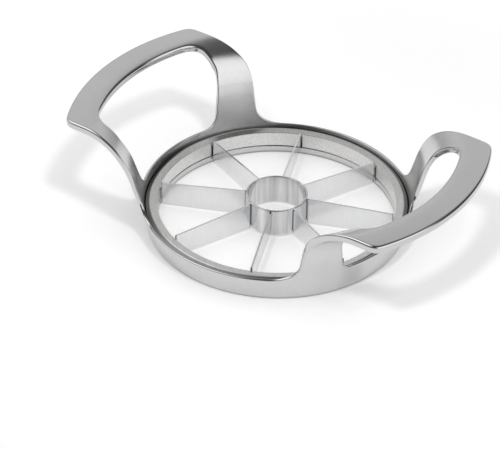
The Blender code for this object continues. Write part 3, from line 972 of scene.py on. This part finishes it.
def brushed_ring_steel():
    """Sheet steel brushed in straight parallel lines, with painted shade and turned lines in the groove along
    its outer edge.
    """
    paint = Nodes("brushed_ring_steel")
    place = paint.object_place()
    x, y, z = paint.parts_of(place)
    across = x * math.cos(BRUSH_ANGLE) + y * math.sin(BRUSH_ANGLE)
    along = y * math.cos(BRUSH_ANGLE) - x * math.sin(BRUSH_ANGLE)
    line_place = paint.vector(across, along * LINE_STRETCH, z * BRUSH_LINE_RISE)
    lines = paint.noise(line_place, BRUSH_LINE_SCALE, 3.0, BRUSH_LINE_NOISE)
    broad = paint.noise(paint.vector(across, along * BRUSH_BROAD_STRETCH, z), BRUSH_BROAD_SCALE, 2.0)
    clouds = paint.noise(place, BRUSH_CLOUD_SCALE)
    grain = paint.noise(paint.vector(across, along * BRUSH_GRAIN_STRETCH, z), BRUSH_GRAIN_SCALE, 2.0)
    shade = paint.spread(lines) * 0.5 + paint.spread(grain) * 0.5
    steel = paint.tint(shade, *BRUSH_TONES)
    radius = distance_out(x, y)
    # Painted shade in the groove beside the casting's rim, with fine turned lines in it
    turned = paint.noise(paint.vector(radius, 0.0, 0.0), GROOVE_SCALE, 3.0, COARSE_NOISE)
    groove = paint.tint(paint.span(turned, *GROOVE_RANGE), *GROOVE_SHADE_TONES)
    shoulder = BASE_RADIUS + RING_LEAN - RIM_WALL - SEAT_SHOULDER_WIDTH
    groove_shade_share = paint.span(radius, *(shoulder + offset for offset in GROOVE_SHADE_BLEND))
    colour = paint.tint(groove_shade_share, steel, groove)
    roughness = (BRUSH_ROUGHNESS + paint.spread(broad, *BRUSH_BROAD_ROUGHNESS)
                 + paint.spread(clouds, *BRUSH_CLOUD_ROUGHNESS))
    return paint.metal(colour, roughness, lines, BRUSH_BUMP)


def blade_steel():
    """Rolled blade stock: very fine lines up its height, a ground edge below, painted shade of the slits at
    the joints at both ends.
    """
    paint = Nodes("blade_steel")
    place = paint.object_place()
    x, y, z = paint.parts_of(place)
    lines = paint.noise(paint.vector(x, y, z * LINE_STRETCH), BLADE_LINE_SCALE, 3.0, COARSE_NOISE)
    clouds = paint.noise(place, BLADE_CLOUD_SCALE)
    ground_band = (BLADE_BOTTOM + BLADE_EDGE_DEPTH * share for share in GROUND_BLEND)
    ground = paint.span(z, *ground_band, 1.0, 0.0)
    steel = paint.tint(paint.spread(lines), *BLADE_TONES)
    radius = distance_out(x, y)
    # Painted shade: the blade's ends darken where they meet the corer and the ring, as the slits there lie in
    # shade
    corer_band = (CORER_RADIUS + offset for offset in CORER_JOINT_SHADE)
    corer_joint_shade = paint.span(radius, *corer_band, 1.0, 0.0)
    ring_band = (OPENING_RADIUS - offset for offset in RING_JOINT_SHADE)
    ring_joint_shade = paint.span(radius, *ring_band, 0.0, RING_JOINT_SHADE_SHARE)
    colour = paint.tint(corer_joint_shade + ring_joint_shade, steel, JOINT_SHADE_TONE)
    roughness = BLADE_ROUGHNESS + paint.spread(clouds, *BLADE_CLOUD_ROUGHNESS)
    roughness = roughness + ground * GROUND_ROUGHNESS
    return paint.metal(colour, roughness, lines, BLADE_BUMP)


def corer_steel():
    """Drawn tube, polished, with faint lines round it and soft streaks up it."""
    paint = Nodes("corer_steel")
    place = paint.object_place()
    x, y, z = paint.parts_of(place)
    line_place = paint.vector(x * TUBE_LINE_STRETCH, y * TUBE_LINE_STRETCH, z)
    lines = paint.noise(line_place, TUBE_LINE_SCALE, 3.0, COARSE_NOISE)
    clouds = paint.noise(place, TUBE_CLOUD_SCALE)
    steel = paint.tint(paint.spread(lines), *TUBE_TONES)
    drawn = paint.noise(paint.vector(x, y, z * LINE_STRETCH), TUBE_DRAWN_SCALE, 3.0, COARSE_NOISE)
    colour = paint.tint(paint.span(drawn, *TUBE_DRAWN_RANGE), TUBE_DRAWN_TONE, steel)
    roughness = TUBE_ROUGHNESS + paint.spread(clouds, *TUBE_CLOUD_ROUGHNESS)
    return paint.metal(colour, roughness, lines, TUBE_BUMP)


def screw_steel():
    """Machined screw steel, slightly dull."""
    paint = Nodes("screw_steel")
    clouds = paint.noise(paint.object_place(), SCREW_CLOUD_SCALE)
    colour = paint.tint(paint.spread(clouds), *SCREW_TONES)
    roughness = paint.spread(clouds, *SCREW_ROUGHNESS)
    return paint.metal(colour, roughness, clouds, SCREW_BUMP, SCREW_BUMP_DEPTH)


# Pieces


def screw_section(grow=0.0):
    """Half of a countersunk screw; grown, it is the hole that the screw goes through."""
    top = SCREW_RECESS + SCREW_LENGTH + grow
    neck = SCREW_RECESS + SCREW_HEAD_DEPTH
    bottom = -HOLE_OVERRUN if grow else SCREW_RECESS
    head = SCREW_HEAD_RADIUS + grow
    shank = SCREW_SHANK_RADIUS + grow
    section = [(0.0, top), (shank, top), (shank, neck), (head, SCREW_RECESS)]
    if grow:
        section.append((head, bottom))
    return section + [(0.0, bottom)]


def dressed(item, material, slot, *nodes):
    """Gives a finished piece its material and lets it stand in for nodes of the part."""
    item.data.materials.clear()
    item.data.materials.append(material)
    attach(item, ROOT)
    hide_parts(*nodes)
    return item


def screw_holes(tree):
    mesh = turned_mesh("screw_hole", screw_section(SEAT_GAP), SCREW_STEPS)
    values = {"Count": SCREW_COUNT, "Circle Radius": SCREW_CIRCLE_RADIUS}
    return ring_array("screw_holes", mesh, tree, **values)


def body_casting(tree):
    shell = casting_quarter(Meridian())
    casting = placed("handle_casting", mirrored_mesh("handle_casting", shell))
    cut_away(casting, screw_holes(tree))
    return dressed(casting, cast_aluminium(), "cast_aluminium", "body_casting")


def seat_ring(tree):
    slope = RING_LEAN / RIM_HEIGHT
    top = SEAT_RING_HEIGHT
    bottom = LEDGE_THICKNESS + SEAT_GAP
    shoulder = top - SEAT_SHOULDER_DROP

    def outer(height):
        return BASE_RADIUS + slope * height - RIM_WALL - SEAT_GAP

    section = rounded_section([
        (outer(shoulder), shoulder, SEAT_RING_ROUNDING),
        (outer(bottom), bottom, SEAT_RING_ROUNDING),
        (OPENING_RADIUS, bottom, SEAT_RING_ROUNDING),
        (OPENING_RADIUS, top - SEAT_RING_DROP, SEAT_RING_ROUNDING),
        (outer(top) - SEAT_SHOULDER_WIDTH, top, SEAT_RING_ROUNDING),
    ])
    ring = placed("seat_ring_brushed", turned_mesh("seat_ring_brushed", section, TURNED_STEPS))
    cut_away(ring, blade_slots(tree))
    cut_away(ring, screw_holes(tree))
    return dressed(ring, brushed_ring_steel(), "brushed_ring_steel", "seat_ring")


def blade_slots(tree):
    half_width = BLADE_THICKNESS / 2 + SEAT_GAP
    low = Vector((OPENING_RADIUS - SLOT_OVERRUN, -half_width, 0))
    high = Vector((TAB_RADIUS + SEAT_GAP, half_width, TAB_TOP + SEAT_GAP))
    place = Matrix.Translation((low + high) / 2) @ Matrix.Diagonal((*(high - low), 1))
    bm = bmesh.new()
    bmesh.ops.create_cube(bm, size=1, matrix=place)
    mesh = finished("blade_slot", bm, smooth=False)
    return ring_array("blade_slots", mesh, tree, **BLADE_RING)


def blade_mesh():
    """One blade along +X: a plate with a ground lower edge and a tab at its outer end."""
    inner = CORER_RADIUS + BLADE_WELD_GAP
    outer = OPENING_RADIUS - SEAT_GAP
    tab_bottom = LEDGE_THICKNESS + SEAT_GAP
    half = BLADE_THICKNESS / 2
    bm = bmesh.new()
    outline = [
        (inner, BLADE_BOTTOM), (outer, BLADE_BOTTOM), (outer, tab_bottom), (TAB_RADIUS, tab_bottom),
        (TAB_RADIUS, TAB_TOP), (outer, TAB_TOP), (outer, BLADE_OUTER_HEIGHT), (inner, BLADE_INNER_HEIGHT),
    ]
    face = bm.faces.new([bm.verts.new((x, -half, z)) for x, z in outline])
    grown = bmesh.ops.extrude_face_region(bm, geom=[face])["geom"]
    far_side = [part for part in grown if isinstance(part, bmesh.types.BMVert)]
    bmesh.ops.translate(bm, verts=far_side, vec=(0, 2 * half, 0))
    everything = bm.verts[:] + bm.edges[:] + bm.faces[:]
    edge_top = (0, 0, BLADE_BOTTOM + BLADE_EDGE_DEPTH)
    bmesh.ops.bisect_plane(bm, geom=everything, plane_co=edge_top, plane_no=(0, 0, 1))
    for vert in bm.verts:
        if vert.co.z < BLADE_BOTTOM + BLADE_ROUNDING:
            vert.co.y = math.copysign(BLADE_EDGE_THICKNESS / 2, vert.co.y)
    bmesh.ops.recalc_face_normals(bm, faces=bm.faces)
    least = math.radians(SHARP_ANGLE)
    sharp = [edge for edge in bm.edges if len(edge.link_faces) == 2 and edge.calc_face_angle() > least]
    bmesh.ops.bevel(bm, geom=sharp, offset=BLADE_ROUNDING, segments=2, profile=0.5, affect="EDGES")
    bmesh.ops.triangulate(bm, faces=[face for face in bm.faces if len(face.verts) > 4])
    return finished("blade", bm)


def blades(tree):
    material = blade_steel()
    plates = ring_array("blade_plates", blade_mesh(), tree, **BLADE_RING, Material=material)
    even_shading(plates)
    nodes = [f"blade_{number + 1}" for number in range(BLADE_COUNT)]
    return dressed(plates, material, "blade_steel", *nodes)


def corer_tube():
    inner = CORER_RADIUS - CORER_WALL
    section = rounded_section([
        (CORER_RADIUS, CORER_HEIGHT, CORER_ROUNDING),
        (CORER_RADIUS, BLADE_BOTTOM + CORER_EDGE_DEPTH, CORER_BEND_ROUNDING),
        (inner + CORER_EDGE_THICKNESS, BLADE_BOTTOM, CORER_TIP_ROUNDING),
        (inner, BLADE_BOTTOM, CORER_TIP_ROUNDING),
        (inner, CORER_HEIGHT, CORER_ROUNDING),
    ])
    tube = placed("corer_polished", turned_mesh("corer_polished", section, CORER_STEPS))
    return dressed(tube, corer_steel(), "corer_steel", "corer_tube")


def ring_screws(tree):
    material = screw_steel()
    screw = placed("screw_pattern", turned_mesh("screw_pattern", screw_section(), SCREW_STEPS))
    depth = SOCKET_DEPTH + SCREW_RECESS
    place = Matrix.Translation((0, 0, SCREW_RECESS + SOCKET_DEPTH - depth / 2))
    bm = bmesh.new()
    bmesh.ops.create_cone(bm, cap_ends=True, segments=SOCKET_SIDES, radius1=SOCKET_RADIUS,
                          radius2=SOCKET_RADIUS, depth=depth, matrix=place)
    cut_away(screw, placed("screw_socket", finished("screw_socket", bm, smooth=False)))
    mesh = screw.data
    for face in mesh.polygons:
        face.use_smooth = False
    bpy.data.objects.remove(screw)
    values = {"Count": SCREW_COUNT, "Circle Radius": SCREW_CIRCLE_RADIUS, "Material": material}
    screws = ring_array("ring_screws", mesh, tree, **values)
    nodes = [f"ring_screw_{number + 1}" for number in range(SCREW_COUNT)]
    return dressed(screws, material, "screw_steel", *nodes)


# Studio


def view_way(side, rise):
    """The unit vector that turns from the camera to the right by one angle and rises by the other."""
    turn = math.radians(CAMERA_AZIMUTH + side)
    rise = math.radians(rise)
    return Vector((math.cos(rise) * math.sin(turn), -math.cos(rise) * math.cos(turn), math.sin(rise)))


def camera():
    data = bpy.data.cameras.new("camera")
    data.sensor_width = CAMERA_SENSOR
    data.lens = CAMERA_LENS
    item = placed("camera", data)
    back = view_way(0, CAMERA_ELEVATION)
    roll = Matrix.Rotation(math.radians(CAMERA_ROLL), 3, "Z")
    item.location = Vector(CAMERA_AIM) + back * CAMERA_DISTANCE
    item.rotation_euler = (back.to_track_quat("Z", "Y").to_matrix() @ roll).to_euler()
    bpy.context.scene.camera = item


def floor():
    """A white sheet: it takes shadows near the part, glows with painted light in the middle, and is plain
    white further off.
    """
    bm = bmesh.new()
    bmesh.ops.create_grid(bm, x_segments=1, y_segments=1, size=FLOOR_HALF_SIZE)
    item = placed("floor", finished("floor", bm, smooth=False))
    paint = Nodes("floor_white")
    x, y = paint.parts_of(paint.object_place())[:2]
    radius = distance_out(x, y)
    far = paint.span(radius, *FLOOR_FADE)
    # Painted light: the floor glows brighter in the middle, inside the ring, to lighten the shade there
    lift_and_painted_light = FLOOR_LIFT + paint.span(radius, *CENTRE_PAINTED_LIGHT_FADE, CENTRE_PAINTED_LIGHT, 0.0)
    seen = paint.ray("Is Camera Ray") + paint.ray("Is Glossy Ray")
    matt = paint.node("ShaderNodeBsdfDiffuse", inputs={"Color": (*[FLOOR_ALBEDO] * 3, 1)})
    lift = paint.node("ShaderNodeEmission", inputs={"Strength": seen * lift_and_painted_light})
    near = paint.node("ShaderNodeAddShader", inputs={0: matt, 1: lift})
    white = paint.node("ShaderNodeEmission", inputs={"Strength": 1.0})
    mixed = paint.node("ShaderNodeMixShader", inputs={0: far * seen, 1: near, 2: white})
    paint.node("ShaderNodeOutputMaterial", inputs={"Surface": mixed})
    item.data.materials.append(paint.material)


def room():
    """The grey room that metal mirrors, with its panels; everything else is lit evenly."""
    world = bpy.data.worlds.new("studio")
    bpy.context.scene.world = world
    world.use_nodes = True
    world.cycles.sampling_method = "NONE"
    paint = Nodes("studio", world.node_tree)
    way = paint.parts_of(paint.node("ShaderNodeTexCoord", output="Generated"))

    def along(direction):
        return way[0] * direction.x + way[1] * direction.y + way[2] * direction.z

    share = paint.span(along(view_way(180, 0)), *SIDE_BLEND)
    front = paint.node("ShaderNodeValToRGB", {"stops": FRONT_STOPS}, {"Fac": way[2]})
    behind = paint.node("ShaderNodeValToRGB", {"stops": BEHIND_STOPS}, {"Fac": way[2]})
    mirrored = paint.tint(share, front, behind)
    for side, rise, half_width, half_height, strength in PANELS:
        ahead = along(view_way(side, rise)).function("MAXIMUM", PANEL_LEAST_AHEAD)
        across = along(view_way(side + 90, 0)) / ahead
        up = along(view_way(side, rise + 90)) / ahead
        cover = 1
        for offset, half in ((across, half_width), (up, half_height)):
            edge = math.tan(math.radians(half))
            size = offset.function("ABSOLUTE")
            cover = cover * paint.span(size, edge - PANEL_EDGE, edge + PANEL_EDGE, 1.0, 0.0)
        mirrored = paint.tint(cover, mirrored, (strength, strength, strength))
    tone = paint.tint(paint.ray("Is Glossy Ray"), (ROOM_LIGHT, ROOM_LIGHT, ROOM_LIGHT), mirrored)
    sky = paint.node("ShaderNodeBackground", inputs={"Color": tone})
    paint.node("ShaderNodeOutputWorld", inputs={"Surface": sky})


def lamp(side, turn, rise):
    """One lamp with a wide soft-edged pool of light over one handle's half of the floor."""
    over = Vector((side * HANDLE_OUT, 0, HANDLE_TOP))
    place = over + view_way(turn, rise) * LAMP_REACH
    aim = Vector((side * POOL_CENTRE, 0, 0)) - place
    full, none = ((Vector((-side * edge, 0, 0)) - place).angle(aim) for edge in POOL_EDGES)
    data = bpy.data.lights.new("lamp", "SPOT")
    data.shadow_soft_size = LAMP_RADIUS
    data.energy = LAMP_POWER
    data.spot_size = 2 * none
    data.spot_blend = (math.cos(full) - math.cos(none)) / (1 - math.cos(none))
    item = placed("lamp", data)
    item.location = place
    item.rotation_euler = (-aim).to_track_quat("Z", "Y").to_euler()
    item.visible_camera = False
    item.visible_glossy = False


def studio():
    bpy.context.scene.view_settings.view_transform = "Standard"
    camera()
    floor()
    room()
    for side, turn, rise in LAMPS:
        lamp(side, turn, rise)


def main():
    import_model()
    tree = ring_array_tree()
    body_casting(tree)
    seat_ring(tree)
    blades(tree)
    corer_tube()
    ring_screws(tree)
    studio()


main()
